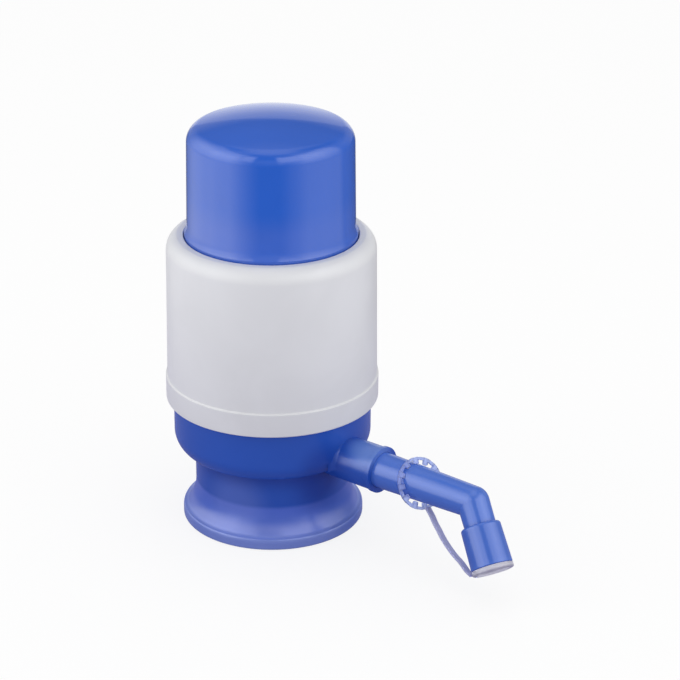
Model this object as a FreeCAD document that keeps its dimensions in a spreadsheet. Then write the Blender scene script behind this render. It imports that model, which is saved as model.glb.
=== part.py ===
import FreeCAD, Part

import math
import os

import Sketcher
from FreeCAD import Placement, Rotation, Vector

# Hand pump for large water bottles.
# The foot collar screws onto the threaded skirt of the base and squeezes a slit grip ring on
# the neck of the bottle. Pressing the cap squeezes the bellows, whose air leaves through the
# deck into the bottle and drives the water up the dip tube and out of the side spout.
#
# Frame: the pump axis is Z, the collar's foot stands on Z = 0 and the spout leaves along +X.
# Lengths are millimetres, angles are degrees.

SIZES = {
    # bottle neck, grip ring and foot collar
    "grip_bore": 28.0,
    "skirt_clearance": 0.4,
    "skirt_wall": 1.9,
    "thread_clearance": 0.5,
    "running_gap": 0.3,
    "collar_wall": 2.3,
    "collar_height": 32.9,
    "collar_lip_clearance": 0.9,
    "collar_lip_thickness": 2.8,
    "collar_sleeve_wall": 1.4,
    "foot_reach": 5.6,
    "foot_wall": 2.0,
    "foot_edge": 0.6,
    "foot_lip_height": 4.8,
    "flare_height": 16.5,
    "flare_toe_radius": 2.2,
    "grip_lift": 0.7,
    "grip_height": 11.2,
    "grip_wall": 2.1,
    "grip_cone_step": 1.0,
    "grip_slit": 1.6,
    "grip_crown": 3.4,
    "grip_fingers": 12,
    # base with the side socket and the water way
    "bowl_overhang": 8.8,
    "base_wall": 2.2,
    "base_floor": 2.2,
    "base_edge_height": 7.0,
    "base_edge_radius": 9.0,
    "bowl_height": 22.1,
    "rim_rise": 5.2,
    "snap_bead": 0.55,
    "snap_bead_width": 1.6,
    "snap_drop": 2.1,
    "seal_thickness": 1.8,
    "seal_width": 7.9,
    "hub_radius": 7.0,
    "air_hole_radius": 3.5,
    "air_hole_circle": 14.0,
    "air_holes": 4,
    "nipple_radius": 4.75,
    "nipple_length": 18.0,
    "water_bore": 3.2,
    "channel_radius": 5.4,
    "channel_bore": 3.6,
    "channel_rise": 3.6,
    "spout_rise": 3.8,
    "socket_wall": 1.65,
    "socket_bore": 7.75,
    "socket_reach": 17.3,
    "socket_root_depth": 7.5,
    "socket_fillet": 3.0,
    "socket_fillet_angle": 205.0,
    "socket_floor_depth": 3.9,
    "socket_bead": 0.5,
    "socket_bead_width": 1.6,
    # air deck
    "gasket_thickness": 1.2,
    "deck_thickness": 2.4,
    "spring_seat_radius": 15.5,
    "spring_seat_wall": 1.6,
    "spring_seat_height": 2.0,
    "valve_disc_overlap": 1.5,
    "valve_disc_thickness": 1.2,
    "valve_disc_edge": 0.4,
    "valve_hub_radius": 3.0,
    "valve_stem_radius": 1.9,
    "valve_knob_radius": 2.7,
    "valve_gap": 0.1,
    "valve_port_radius": 1.5,
    "valve_port_circle": 5.5,
    "valve_ports": 6,
    "boss_radius": 3.2,
    "boss_inset": 2.9,
    "screws": 4,
    "screw_radius": 1.45,
    "screw_length": 13.0,
    "screw_head_radius": 2.6,
    "screw_head_height": 1.8,
    "screw_recess_width": 0.7,
    "screw_recess_length": 3.1,
    "screw_recess_depth": 0.7,
    "screw_clearance": 0.25,
    "pilot_gap": 0.05,
    "retainer_inset": 2.4,
    "retainer_height": 3.8,
    # bellows, spring and top plate
    "fold_inset": 1.8,
    "fold_depth": 5.8,
    "bellows_wall": 1.2,
    "bellows_neck": 5.0,
    "bellows_folds": 9,
    "bellows_flange": 1.5,
    "spring_side_gap": 1.0,
    "spring_wire": 0.9,
    "spring_turns": 9,
    "plate_drop": 13.0,
    "plate_inset": 1.8,
    "plate_thickness": 2.8,
    # housing
    "band_wall": 2.8,
    "band_height": 10.2,
    "band_edge": 0.5,
    "band_step": 0.6,
    "housing_wall": 2.25,
    "housing_step": 0.7,
    "housing_height": 72.7,
    "shoulder_height": 6.6,
    "shoulder_radius": 7.0,
    "opening_land": 2.7,
    "opening_wall": 2.4,
    "ledge_gap": 0.4,
    "ledge_thickness": 2.2,
    # push cap
    "cap_inset": 5.4,
    "cap_height": 50.9,
    "cap_flare": 1.1,
    "cap_draft": 0.5,
    "cap_wall": 1.8,
    "cap_corner": 7.0,
    "cap_rise": 3.6,
    "cap_lip_height": 0.8,
    "cap_flare_height": 2.2,
    "cap_skirt_length": 16.0,
    "cap_stop_width": 2.1,
    "cap_stop_thickness": 2.0,
    "press_ring_inset": 2.0,
    # spout, turned a little about its own axis
    "spout_turn_angle": 20.0,
    "plug_end_gap": 1.0,
    "plug_chamfer": 0.6,
    "plug_gap": 0.1,
    "pipe_length": 46.2,
    "pipe_end_radius": 6.67,
    "pipe_wall": 1.87,
    "bend_angle": 55.5,
    "elbow_end_draft": 0.22,
    "elbow_length": 19.0,
    "ring_groove_place": 5.0,
    "o_ring_wire": 0.95,
    "tip_overlap": 9.2,
    "tip_length": 17.4,
    "tip_wall": 1.48,
    "tip_draft": 0.4,
    "tip_shoulder": 1.4,
    "tip_bore": 6.4,
    # tethered dust cap
    "dust_flange": 2.1,
    "dust_plug_length": 6.5,
    "dust_plug_wall": 1.0,
    "dust_gap": 0.1,
    "tether_offset": 19.5,
    "tether_radius": 10.9,
    "tether_band": 1.0,
    "tether_nub_length": 2.9,
    "tether_nubs": 12,
    "tether_slot": 2.7,
    "tether_thickness": 1.5,
    "tether_yaw_angle": -23.5,
    "tether_pitch_angle": 21.7,
    "tether_clearance": 0.3,
    "strap_width": 3.0,
    "strap_thickness": 1.0,
    "strap_curve": 80.0,
    "strap_start_angle": 46.0,
    "strap_end_angle": 20.0,
    "strap_gap": 0.3,
}

doc = FreeCAD.newDocument("hand_pump")
sheet = doc.addObject("Spreadsheet::Sheet", "sizes")
for row, (alias, number) in enumerate(SIZES.items(), start=1):
    sheet.set(f"A{row}", alias)
    sheet.set(f"B{row}", str(number))
    sheet.setAlias(f"B{row}", alias)
doc.recompute()


class Size:
    """A number and the sheet expression that gives it; sums of sizes keep both."""

    def __init__(self, value, text):
        self.value = float(value)
        self.text = text

    def __add__(self, other):
        other = as_size(other)
        return Size(self.value + other.value, f"({self.text} + {other.text})")

    def __sub__(self, other):
        other = as_size(other)
        return Size(self.value - other.value, f"({self.text} - {other.text})")

    def __mul__(self, other):
        other = as_size(other)
        return Size(self.value * other.value, f"({self.text} * {other.text})")

    def __truediv__(self, other):
        other = as_size(other)
        return Size(self.value / other.value, f"({self.text} / {other.text})")

    def __neg__(self):
        return Size(-self.value, f"(0 - {self.text})")

    def root(self):
        return Size(math.sqrt(self.value), f"sqrt({self.text})")

    def sine(self):
        return Size(math.sin(math.radians(self.value)), f"sin({self.text})")

    def cosine(self):
        return Size(math.cos(math.radians(self.value)), f"cos({self.text})")


def as_size(number):
    return number if isinstance(number, Size) else Size(number, repr(float(number)))


def size(alias):
    """The sheet's value of this alias, bound to its cell."""
    return Size(sheet.get(alias), f"sizes.{alias}")


# ---------------------------------------------------------------- building steps


def new_body(label):
    body = doc.addObject("PartDesign::Body", label)
    body.Label = label
    return body


def origin_feature(body, role):
    return next(item for item in body.Origin.OriginFeatures if item.Role == role)


def new_sketch(body, name, plane="XZ_Plane"):
    sketch = body.newObject("Sketcher::SketchObject", name)
    sketch.AttachmentSupport = (origin_feature(body, plane), [""])
    sketch.MapMode = "FlatFace"
    return sketch


def bind(item, **settings):
    """Set properties of a feature, the ones given as sizes through an expression."""
    for name, setting in settings.items():
        if isinstance(setting, Size):
            item.setExpression(name, setting.text)
        else:
            setattr(item, name, setting)


def hold(sketch, geometry, point, place):
    """Hold one sketch point at a place, on an axis where a coordinate is plain 0."""
    kinds = (("DistanceX", -2), ("DistanceY", -1))
    for (kind, axis), coordinate in zip(kinds, place):
        if not isinstance(coordinate, Size):
            sketch.addConstraint(Sketcher.Constraint("PointOnObject", geometry, point, axis))
            continue
        number = sketch.addConstraint(
            Sketcher.Constraint(kind, -1, 1, geometry, point, coordinate.value))
        sketch.setExpression(f"Constraints[{number}]", coordinate.text)


def arc_through(start, end, radius, centre_on_left):
    """The short arc between two points; seen from the start its centre is left or right."""
    middle = (start + end) * 0.5
    chord = end - start
    normal = Vector(-chord.y, chord.x, 0).normalize()
    offset = math.sqrt(radius * radius - chord.Length ** 2 / 4)
    centre = middle + normal * (offset if centre_on_left else -offset)
    first, last = (start, end) if centre_on_left else (end, start)
    begin = math.atan2(first.y - centre.y, first.x - centre.x)
    finish = math.atan2(last.y - centre.y, last.x - centre.x)
    circle = Part.Circle(centre, Vector(0, 0, 1), radius)
    return Part.ArcOfCircle(circle, begin, finish)


def draw(sketch, corners):
    """Draw a closed outline. A corner is (x, y), or (x, y, radius, side) where the edge that
    leaves it is an arc with its centre on that side, "left" or "right"."""
    count = len(corners)
    points = [Vector(as_size(c[0]).value, as_size(c[1]).value, 0) for c in corners]
    starts, ends = [], []
    for index, corner in enumerate(corners):
        first, last = points[index], points[(index + 1) % count]
        if len(corner) == 2:
            edge = sketch.addGeometry(Part.LineSegment(first, last), False)
            starts.append((edge, 1))
            ends.append((edge, 2))
            continue
        radius, side = corner[2:]
        edge = sketch.addGeometry(arc_through(first, last, radius.value, side == "left"), False)
        starts.append((edge, 1 if side == "left" else 2))
        ends.append((edge, 2 if side == "left" else 1))
        number = sketch.addConstraint(Sketcher.Constraint("Radius", edge, radius.value))
        sketch.setExpression(f"Constraints[{number}]", radius.text)
    for index, corner in enumerate(corners):
        sketch.addConstraint(
            Sketcher.Constraint("Coincident", *ends[index - 1], *starts[index]))
        hold(sketch, *starts[index], corner[:2])


def turned(body, name, corners, axis="V_Axis", cut=False):
    """Turn an outline about an axis of its sketch, to add to the body or to cut from it."""
    sketch = new_sketch(body, f"{name}_outline")
    draw(sketch, corners)
    kind = "PartDesign::Groove" if cut else "PartDesign::Revolution"
    feature = body.newObject(kind, name)
    feature.Profile = sketch
    feature.ReferenceAxis = (sketch, [axis])
    feature.Angle = 360
    body.Tip = feature
    return feature


def placed(body, kind, name, turn=Rotation(), at=(0, 0, 0), **settings):
    """Add or cut a primitive, such as AdditiveCylinder, at a bound place."""
    feature = body.newObject(f"PartDesign::{kind}", name)
    feature.Placement = Placement(Vector(*[as_size(c).value for c in at]), turn)
    for letter, coordinate in zip("xyz", at):
        if isinstance(coordinate, Size):
            feature.setExpression(f"Placement.Base.{letter}", coordinate.text)
    bind(feature, **settings)
    body.Tip = feature
    return feature


def around(body, feature, count):
    """Repeat a feature round the body's Z axis."""
    pattern = body.newObject("PartDesign::PolarPattern", f"{feature.Name}_round")
    pattern.Originals = [feature]
    pattern.Axis = (origin_feature(body, "Z_Axis"), [""])
    pattern.Angle = 360
    bind(pattern, Occurrences=count)
    body.Tip = pattern
    return pattern


def ring_place(circle, count, height):
    """First place of a pattern round Z: half a step from X, so that none lies on X."""
    half_step = as_size(180) / count
    return (circle * half_step.cosine(), circle * half_step.sine(), height)


ALONG_X = Rotation(Vector(0, 1, 0), 90)
DOWNWARD = Rotation(Vector(1, 0, 0), 180)
OVERCUT = 1.0  # how far a cutting tool runs past the face that it cuts

# ---------------------------------------------------------------- shared places

# outwards from the bottle neck
skirt_bore = size("grip_bore") + size("skirt_clearance")
skirt_radius = skirt_bore + size("skirt_wall")
collar_bore = skirt_radius + size("thread_clearance")
collar_radius = collar_bore + size("collar_wall")
foot_radius = collar_radius + size("foot_reach")
grip_radius = size("grip_bore") + size("grip_wall")
grip_seat = grip_radius + size("running_gap")
base_radius = collar_radius + size("bowl_overhang")
base_bore = base_radius - size("base_wall")
screw_circle = base_bore - size("boss_inset")
screw_hole = size("screw_radius") + size("screw_clearance")
clamp_radius = screw_circle - size("boss_radius")
deck_radius = base_radius - size("running_gap")
retainer_radius = deck_radius - size("retainer_inset")
housing_seat = base_radius + size("running_gap")
band_radius = housing_seat + size("band_wall")
housing_bore = housing_seat - size("housing_step")
housing_radius = housing_bore + size("housing_wall")
cap_skirt_radius = housing_bore - size("cap_inset")
cap_radius = cap_skirt_radius - size("cap_flare")
opening_radius = cap_skirt_radius + size("running_gap")
bellows_radius = clamp_radius - size("fold_inset")
bellows_root = bellows_radius - size("fold_depth")
plate_radius = bellows_radius - size("plate_inset")
spring_radius = size("spring_seat_radius") + size("spring_wire") + size("spring_side_gap")

# upwards from the foot
grip_bottom = size("collar_lip_thickness") + size("grip_lift")
grip_top = grip_bottom + size("grip_height")
skirt_bottom = grip_top + size("running_gap")
base_bottom = size("collar_height") + size("running_gap")
floor_top = base_bottom + size("base_floor")
spout_height = base_bottom + size("spout_rise")
channel_height = spout_height + size("channel_rise")
housing_bottom = base_bottom + size("bowl_height")
rim_top = housing_bottom + size("rim_rise")
bead_top = rim_top - size("snap_drop")
bead_bottom = bead_top - size("snap_bead_width")
gasket_top = rim_top + size("gasket_thickness")
deck_top = gasket_top + size("deck_thickness")
ledge_under = deck_top + size("plug_gap")
ledge_top = ledge_under + size("ledge_thickness")
retainer_top = deck_top + size("retainer_height")
shoulder_top = housing_bottom + size("housing_height")
shoulder_start = shoulder_top - size("shoulder_height")
lip_under = shoulder_top - size("opening_wall")
cap_top = shoulder_top + size("cap_height")
plate_top = cap_top - size("plate_drop")
plate_under = plate_top - size("plate_thickness")

# along the spout from the pump axis, then down from the bend
socket_radius = size("socket_bore") + size("socket_wall")
socket_root = base_radius - size("socket_root_depth")
socket_floor = base_radius - size("socket_floor_depth")
socket_end = base_radius + size("socket_reach")
plug_start = socket_floor + size("plug_end_gap")
plug_radius = size("socket_bore") - size("plug_gap")
o_ring_radius = size("socket_bore") - size("plug_gap") / 2
groove_radius = o_ring_radius - size("o_ring_wire") * 2
groove_start = plug_start + size("ring_groove_place")
groove_end = groove_start + size("o_ring_wire") * 2 + size("running_gap")
bend_reach = socket_end + size("pipe_length")
pipe_bore = size("pipe_end_radius") - size("pipe_wall")
tether_place = socket_end + size("tether_offset")
tip_seat = size("pipe_end_radius") + size("plug_gap")
tip_radius = tip_seat + size("tip_wall")
tip_end_radius = tip_radius + size("tip_draft")
tip_start = size("elbow_length") - size("tip_overlap")
tip_end = tip_start + size("tip_length")
dust_face = tip_end + size("dust_gap")


# ---------------------------------------------------------------- foot collar and grip


def clamp_collar():
    """Blue nut: plain neck that flares into the foot, hollow under the flare."""
    body = new_body("clamp_collar")
    foot, neck = foot_radius, collar_radius
    sleeve = grip_seat + size("collar_sleeve_wall")
    mouth = size("grip_bore") + size("collar_lip_clearance")
    lip, toe = size("foot_lip_height"), size("flare_toe_radius")
    edge = size("foot_edge")
    rise = size("flare_height") - lip
    reach = foot - edge - neck
    # The flare is a large arc that starts upright and runs into the small toe arc, which
    # ends level on the lip.
    sweep = (reach * reach + rise * rise - rise * toe * 2) / ((reach - toe) * 2)
    toe_x, toe_y = neck + reach, lip + toe
    share = toe / (sweep - toe)
    join_x = toe_x + (toe_x - (neck + sweep)) * share
    join_y = toe_y + (toe_y - size("flare_height")) * share
    cone_foot = grip_seat - size("grip_cone_step")
    wall = size("foot_wall")
    turned(body, "shell", [
        (collar_bore, size("collar_height")),
        (collar_bore, grip_top + wall / 2),
        (grip_seat, grip_top),
        (cone_foot, grip_bottom),
        (cone_foot, size("collar_lip_thickness")),
        (mouth, size("collar_lip_thickness")),
        (mouth, 0),
        (sleeve, 0),
        (sleeve, lip + wall),
        (foot - wall, lip - wall),
        (foot - wall, 0),
        (foot - edge, 0),
        (foot, edge),
        (foot, lip - edge),
        (toe_x, lip, toe, "right"),
        (join_x, join_y, sweep, "right"),
        (neck, size("flare_height")),
        (neck, size("collar_height") - edge / 2),
        (neck - edge / 2, size("collar_height")),
    ])
    return body


def grip_ring():
    """Slit collet: its fingers close on the bottle neck when the collar is tightened."""
    body = new_body("grip_ring")
    turned(body, "cone", [
        (size("grip_bore"), grip_bottom),
        (grip_radius - size("grip_cone_step"), grip_bottom),
        (grip_radius, grip_top),
        (size("grip_bore"), grip_top),
    ])
    # The first slit lies half a step from X, so that the wall is whole there.
    half_step = as_size(180) / size("grip_fingers")
    inside, beside = size("grip_bore") - OVERCUT, size("grip_slit") / 2
    slit = placed(
        body, "SubtractiveBox", "slit", Rotation(Vector(0, 0, 1), half_step.value),
        at=(inside * half_step.cosine() + beside * half_step.sine(),
            inside * half_step.sine() - beside * half_step.cosine(), grip_bottom - OVERCUT),
        Length=size("grip_wall") + 2 * OVERCUT, Width=size("grip_slit"),
        Height=size("grip_height") - size("grip_crown") + OVERCUT)
    around(body, slit, size("grip_fingers"))
    return body


def bottle_seal():
    """Flat rubber ring under the base floor, for the mouth of the bottle."""
    body = new_body("bottle_seal")
    bottom = base_bottom - size("seal_thickness")
    outer = skirt_bore - size("plug_gap")
    inner = outer - size("seal_width")
    turned(body, "ring", [
        (inner, bottom),
        (outer, bottom),
        (outer, base_bottom),
        (inner, base_bottom),
    ])
    return body


# ---------------------------------------------------------------- base and deck


def base_body():
    """Blue bowl with the threaded skirt, the water way and the socket of the spout."""
    body = new_body("base_body")
    radius = base_radius
    edge = size("base_edge_radius")
    low = base_bottom
    drop = size("base_edge_height")
    # The bowl's lower edge is an arc that starts upright on the wall.
    inset = edge - (edge * edge - drop * drop).root()
    turned(body, "bowl", [
        (0, low),
        (skirt_bore, low),
        (skirt_bore, skirt_bottom),
        (skirt_radius, skirt_bottom),
        (skirt_radius, low),
        (radius - inset, low, edge, "left"),
        (radius, low + drop),
        (radius, bead_bottom),
        (radius + size("snap_bead"), bead_bottom),
        (radius + size("snap_bead"), bead_top),
        (radius, bead_top),
        (radius, rim_top),
        (base_bore, rim_top),
        (base_bore, low + drop),
        (base_bore - inset, floor_top),
        (0, floor_top),
    ])
    boss_bottom = low + size("base_floor") / 2
    around(body, placed(
        body, "AdditiveCylinder", "boss",
        at=ring_place(screw_circle, size("screws"), boss_bottom),
        Radius=size("boss_radius"), Height=rim_top - boss_bottom), size("screws"))
    # water way: hub over the dip tube, channel to the side, socket for the spout
    placed(body, "AdditiveCylinder", "hub", at=(0, 0, low),
           Radius=size("hub_radius"), Height=channel_height + size("channel_radius") - low)
    placed(body, "AdditiveCylinder", "nipple", DOWNWARD, at=(0, 0, floor_top),
           Radius=size("nipple_radius"), Height=size("nipple_length") + size("base_floor"))
    placed(body, "AdditiveCylinder", "channel", ALONG_X, at=(0, 0, channel_height),
           Radius=size("channel_radius"), Height=socket_floor)
    placed(body, "AdditiveCylinder", "socket", ALONG_X,
           at=(socket_root, 0, spout_height),
           Radius=socket_radius, Height=socket_end - socket_root)
    # The socket's root runs into the bowl's wall in a fillet over its top and sides. Both
    # ends of the fillet's arc are sunk a little into the walls that they join.
    fillet, sunk = size("socket_fillet"), size("plug_gap")
    foot = socket_radius + fillet
    fillet_root = (radius * radius - foot * foot).root() - sunk
    inside = socket_radius - size("socket_wall") / 2
    root_fillet = turned(body, "root_fillet", [
        (fillet_root, inside),
        (fillet_root, foot, fillet, "left"),
        (fillet_root + fillet, socket_radius - sunk),
        (fillet_root + fillet, inside),
    ], axis="H_Axis")
    root_fillet.Midplane = True
    bind(root_fillet, Angle=size("socket_fillet_angle"))
    bind(root_fillet.Profile[0], **{"AttachmentOffset.Base.y": spout_height})
    placed(body, "AdditiveCylinder", "socket_bead", ALONG_X,
           at=(socket_end - size("socket_bead_width"), 0, spout_height),
           Radius=socket_radius + size("socket_bead"),
           Height=size("socket_bead_width"))
    placed(body, "SubtractiveCylinder", "socket_bore", ALONG_X,
           at=(socket_floor, 0, spout_height),
           Radius=size("socket_bore"), Height=socket_end)
    placed(body, "SubtractiveCylinder", "channel_bore", ALONG_X, at=(0, 0, channel_height),
           Radius=size("channel_bore"), Height=socket_floor + OVERCUT)
    placed(body, "SubtractiveCylinder", "riser_bore", DOWNWARD, at=(0, 0, channel_height),
           Radius=size("water_bore"), Height=channel_height)
    around(body, placed(
        body, "SubtractiveCylinder", "air_hole",
        at=ring_place(size("air_hole_circle"), size("air_holes"), low - OVERCUT),
        Radius=size("air_hole_radius"), Height=size("base_floor") + 2 * OVERCUT),
        size("air_holes"))
    around(body, placed(
        body, "SubtractiveCylinder", "screw_pilot", DOWNWARD,
        at=ring_place(screw_circle, size("screws"), rim_top + OVERCUT),
        Radius=size("screw_radius") + size("pilot_gap"),
        Height=size("screw_length") + size("pilot_gap") + OVERCUT), size("screws"))
    return body


def screw_holes(body, bottom, height):
    """Clearance holes for the deck screws, right through a plate."""
    around(body, placed(
        body, "SubtractiveCylinder", "screw_hole",
        at=ring_place(screw_circle, size("screws"), bottom - OVERCUT),
        Radius=screw_hole, Height=height + 2 * OVERCUT), size("screws"))


def deck_gasket():
    """Rubber ring between the rim of the base and the deck."""
    body = new_body("deck_gasket")
    turned(body, "ring", [
        (clamp_radius, rim_top),
        (deck_radius, rim_top),
        (deck_radius, gasket_top),
        (clamp_radius, gasket_top),
    ])
    screw_holes(body, rim_top, size("gasket_thickness"))
    return body


def valve_plate(label, radius, bottom, thickness, seat_up):
    """Round plate with ports under an umbrella valve and a ring that centres the spring."""
    body = new_body(label)
    seat, wall = size("spring_seat_radius"), size("spring_seat_wall")
    top = bottom + thickness
    if seat_up:
        outline = [(0, bottom), (radius, bottom), (radius, top), (seat, top),
                   (seat, top + size("spring_seat_height")),
                   (seat - wall, top + size("spring_seat_height")), (seat - wall, top), (0, top)]
    else:
        outline = [(0, bottom), (seat - wall, bottom),
                   (seat - wall, bottom - size("spring_seat_height")),
                   (seat, bottom - size("spring_seat_height")), (seat, bottom),
                   (radius, bottom), (radius, top), (0, top)]
    turned(body, "plate", outline)
    placed(body, "SubtractiveCylinder", "stem_hole", at=(0, 0, bottom - OVERCUT),
           Radius=size("valve_stem_radius") + size("valve_gap"),
           Height=thickness + 2 * OVERCUT)
    around(body, placed(
        body, "SubtractiveCylinder", "port", at=(size("valve_port_circle"), 0, bottom - OVERCUT),
        Radius=size("valve_port_radius"), Height=thickness + 2 * OVERCUT), size("valve_ports"))
    return body


def valve_deck():
    """White deck between the air chamber of the base and the bellows."""
    body = valve_plate("valve_deck", deck_radius, gasket_top, size("deck_thickness"),
                       seat_up=True)
    screw_holes(body, gasket_top, size("deck_thickness"))
    return body


def umbrella_valve(label, under, thickness):
    """Silicone valve: the disc lies under the plate and the knob holds it above."""
    body = new_body(label)
    disc = size("valve_port_circle") + size("valve_port_radius") + size("valve_disc_overlap")
    stem, knob = size("valve_stem_radius"), size("valve_knob_radius")
    drop = size("valve_disc_thickness")
    top = under + thickness + size("valve_gap")
    turned(body, "umbrella", [
        (0, under - drop),
        (size("valve_hub_radius"), under - drop),
        (disc, under - size("valve_disc_edge")),
        (disc, under),
        (stem, under),
        (stem, top),
        (knob, top),
        (stem, top + knob / 2),
        (0, top + knob / 2),
    ])
    return body


def bellows_retainer():
    """White ring that clamps the lower flange of the bellows to the deck."""
    body = new_body("bellows_retaining_ring")
    step = deck_top + size("bellows_flange")
    inner = bellows_root + size("bellows_wall") + size("running_gap")
    pocket = clamp_radius + size("running_gap")
    turned(body, "ring", [
        (inner, step),
        (pocket, step),
        (pocket, deck_top),
        (retainer_radius, deck_top),
        (retainer_radius, retainer_top),
        (inner, retainer_top),
    ])
    screw_holes(body, deck_top, size("retainer_height"))
    return body


def deck_screws():
    """Pan-head screws with a cross recess, one solid each, down into the base bosses."""
    screws = []
    for index in range(int(size("screws").value)):
        parts = {}
        for name, kind in (("head", "Cylinder"), ("shank", "Cylinder"),
                           ("slot_long", "Box"), ("slot_cross", "Box")):
            parts[name] = doc.addObject(f"Part::{kind}", f"screw_{index}_{name}")
        reach, width = size("screw_recess_length"), size("screw_recess_width")
        recess_floor = size("screw_head_height") - size("screw_recess_depth")
        bind(parts["head"], Radius=size("screw_head_radius"), Height=size("screw_head_height"))
        bind(parts["shank"], Radius=size("screw_radius"),
             Height=size("screw_length") + retainer_top - rim_top)
        parts["shank"].Placement.Rotation = DOWNWARD
        for name, along, across in (("slot_long", reach, width), ("slot_cross", width, reach)):
            bind(parts[name], Length=along, Width=across,
                 Height=size("screw_recess_depth") + OVERCUT)
            parts[name].setExpression("Placement.Base.x", (-(along / 2)).text)
            parts[name].setExpression("Placement.Base.y", (-(across / 2)).text)
            parts[name].setExpression("Placement.Base.z", recess_floor.text)
        solid = doc.addObject("Part::MultiFuse", f"screw_{index}_solid")
        solid.Shapes = [parts["head"], parts["shank"]]
        cross = doc.addObject("Part::MultiFuse", f"screw_{index}_cross")
        cross.Shapes = [parts["slot_long"], parts["slot_cross"]]
        screw = doc.addObject("Part::Cut", f"screw_{index}")
        screw.Base, screw.Tool = solid, cross
        angle = as_size(360 * index + 180) / size("screws")
        bind(screw, **{"Placement.Base.x": screw_circle * angle.cosine(),
                       "Placement.Base.y": screw_circle * angle.sine(),
                       "Placement.Base.z": retainer_top})
        screws.append(screw)
    group = doc.addObject("Part::Compound", "deck_screws")
    group.Label = "deck_screws"
    group.Links = screws
    return group


# ---------------------------------------------------------------- bellows and spring


def bellows():
    """Blow-moulded bellows with a flange at each end and the folds between two necks."""
    body = new_body("bellows")
    root, crest = bellows_root, bellows_radius
    wall, flange = size("bellows_wall"), size("bellows_flange")
    low = deck_top + size("bellows_neck") + flange
    top = plate_under - size("running_gap")
    high = top - flange * 2
    folds = int(size("bellows_folds").value)
    pitch = (high - low) / size("bellows_folds")
    outside = [(clamp_radius, deck_top), (clamp_radius, deck_top + flange),
               (root + wall, deck_top + flange), (root + wall, low)]
    inside = [(root, low)]
    for fold in range(folds):
        start = low + pitch * fold
        outside += [(crest, start + pitch / 2), (root + wall, start + pitch)]
        inside += [(crest - wall, start + pitch / 2), (root, start + pitch)]
    outside += [(root + wall, top - flange), (plate_radius, top - flange),
                (plate_radius, top)]
    inside += [(root, top)]
    turned(body, "folds", [(root, deck_top)] + outside + inside[::-1])
    return body


def return_spring():
    """Stainless coil between the seats of the deck and of the top plate."""
    body = new_body("return_spring")
    wire = size("spring_wire")
    low = deck_top + wire + size("plug_gap")
    high = plate_under - wire - size("plug_gap")
    sketch = new_sketch(body, "wire_section")
    circle = Part.Circle(Vector(spring_radius.value, low.value, 0),
                         Vector(0, 0, 1), wire.value)
    edge = sketch.addGeometry(circle, False)
    hold(sketch, edge, 3, (spring_radius, low))
    number = sketch.addConstraint(Sketcher.Constraint("Radius", edge, wire.value))
    sketch.setExpression(f"Constraints[{number}]", wire.text)
    coil = body.newObject("PartDesign::AdditiveHelix", "coil")
    coil.Profile = sketch
    coil.ReferenceAxis = (sketch, ["V_Axis"])
    coil.Mode = "height-turns-angle"
    bind(coil, Height=high - low, Turns=size("spring_turns"))
    body.Tip = coil
    return body


# ---------------------------------------------------------------- housing and cap


def pump_housing():
    """White sleeve: snaps over the base, carries the band and guides the cap."""
    body = new_body("pump_housing")
    step, edge = size("band_step"), size("band_edge")
    band_top = housing_bottom + size("band_height")
    ledge = retainer_radius + size("ledge_gap")
    stop_bore = cap_skirt_radius + size("cap_stop_width") + size("running_gap")
    groove = housing_seat + size("snap_bead") - size("plug_gap")
    turned(body, "sleeve", [
        (housing_seat, housing_bottom),
        (band_radius - edge, housing_bottom, edge, "left"),
        (band_radius, housing_bottom + edge),
        (band_radius, band_top - step / 2),
        (band_radius - step, band_top + step / 2),
        (housing_radius, shoulder_start, size("shoulder_radius"), "left"),
        (opening_radius + size("opening_land"), shoulder_top),
        (opening_radius + edge, shoulder_top + edge / 3),
        (opening_radius, shoulder_top - edge / 2),
        (opening_radius, lip_under),
        (stop_bore, lip_under),
        (housing_bore, shoulder_start),
        (housing_bore, ledge_top),
        (ledge, ledge_top),
        (ledge, ledge_under),
        (housing_seat, ledge_under),
        (housing_seat, bead_top + size("plug_gap")),
        (groove, bead_top + size("plug_gap")),
        (groove, bead_bottom - size("plug_gap")),
        (housing_seat, bead_bottom - size("plug_gap")),
    ])
    return body


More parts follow.
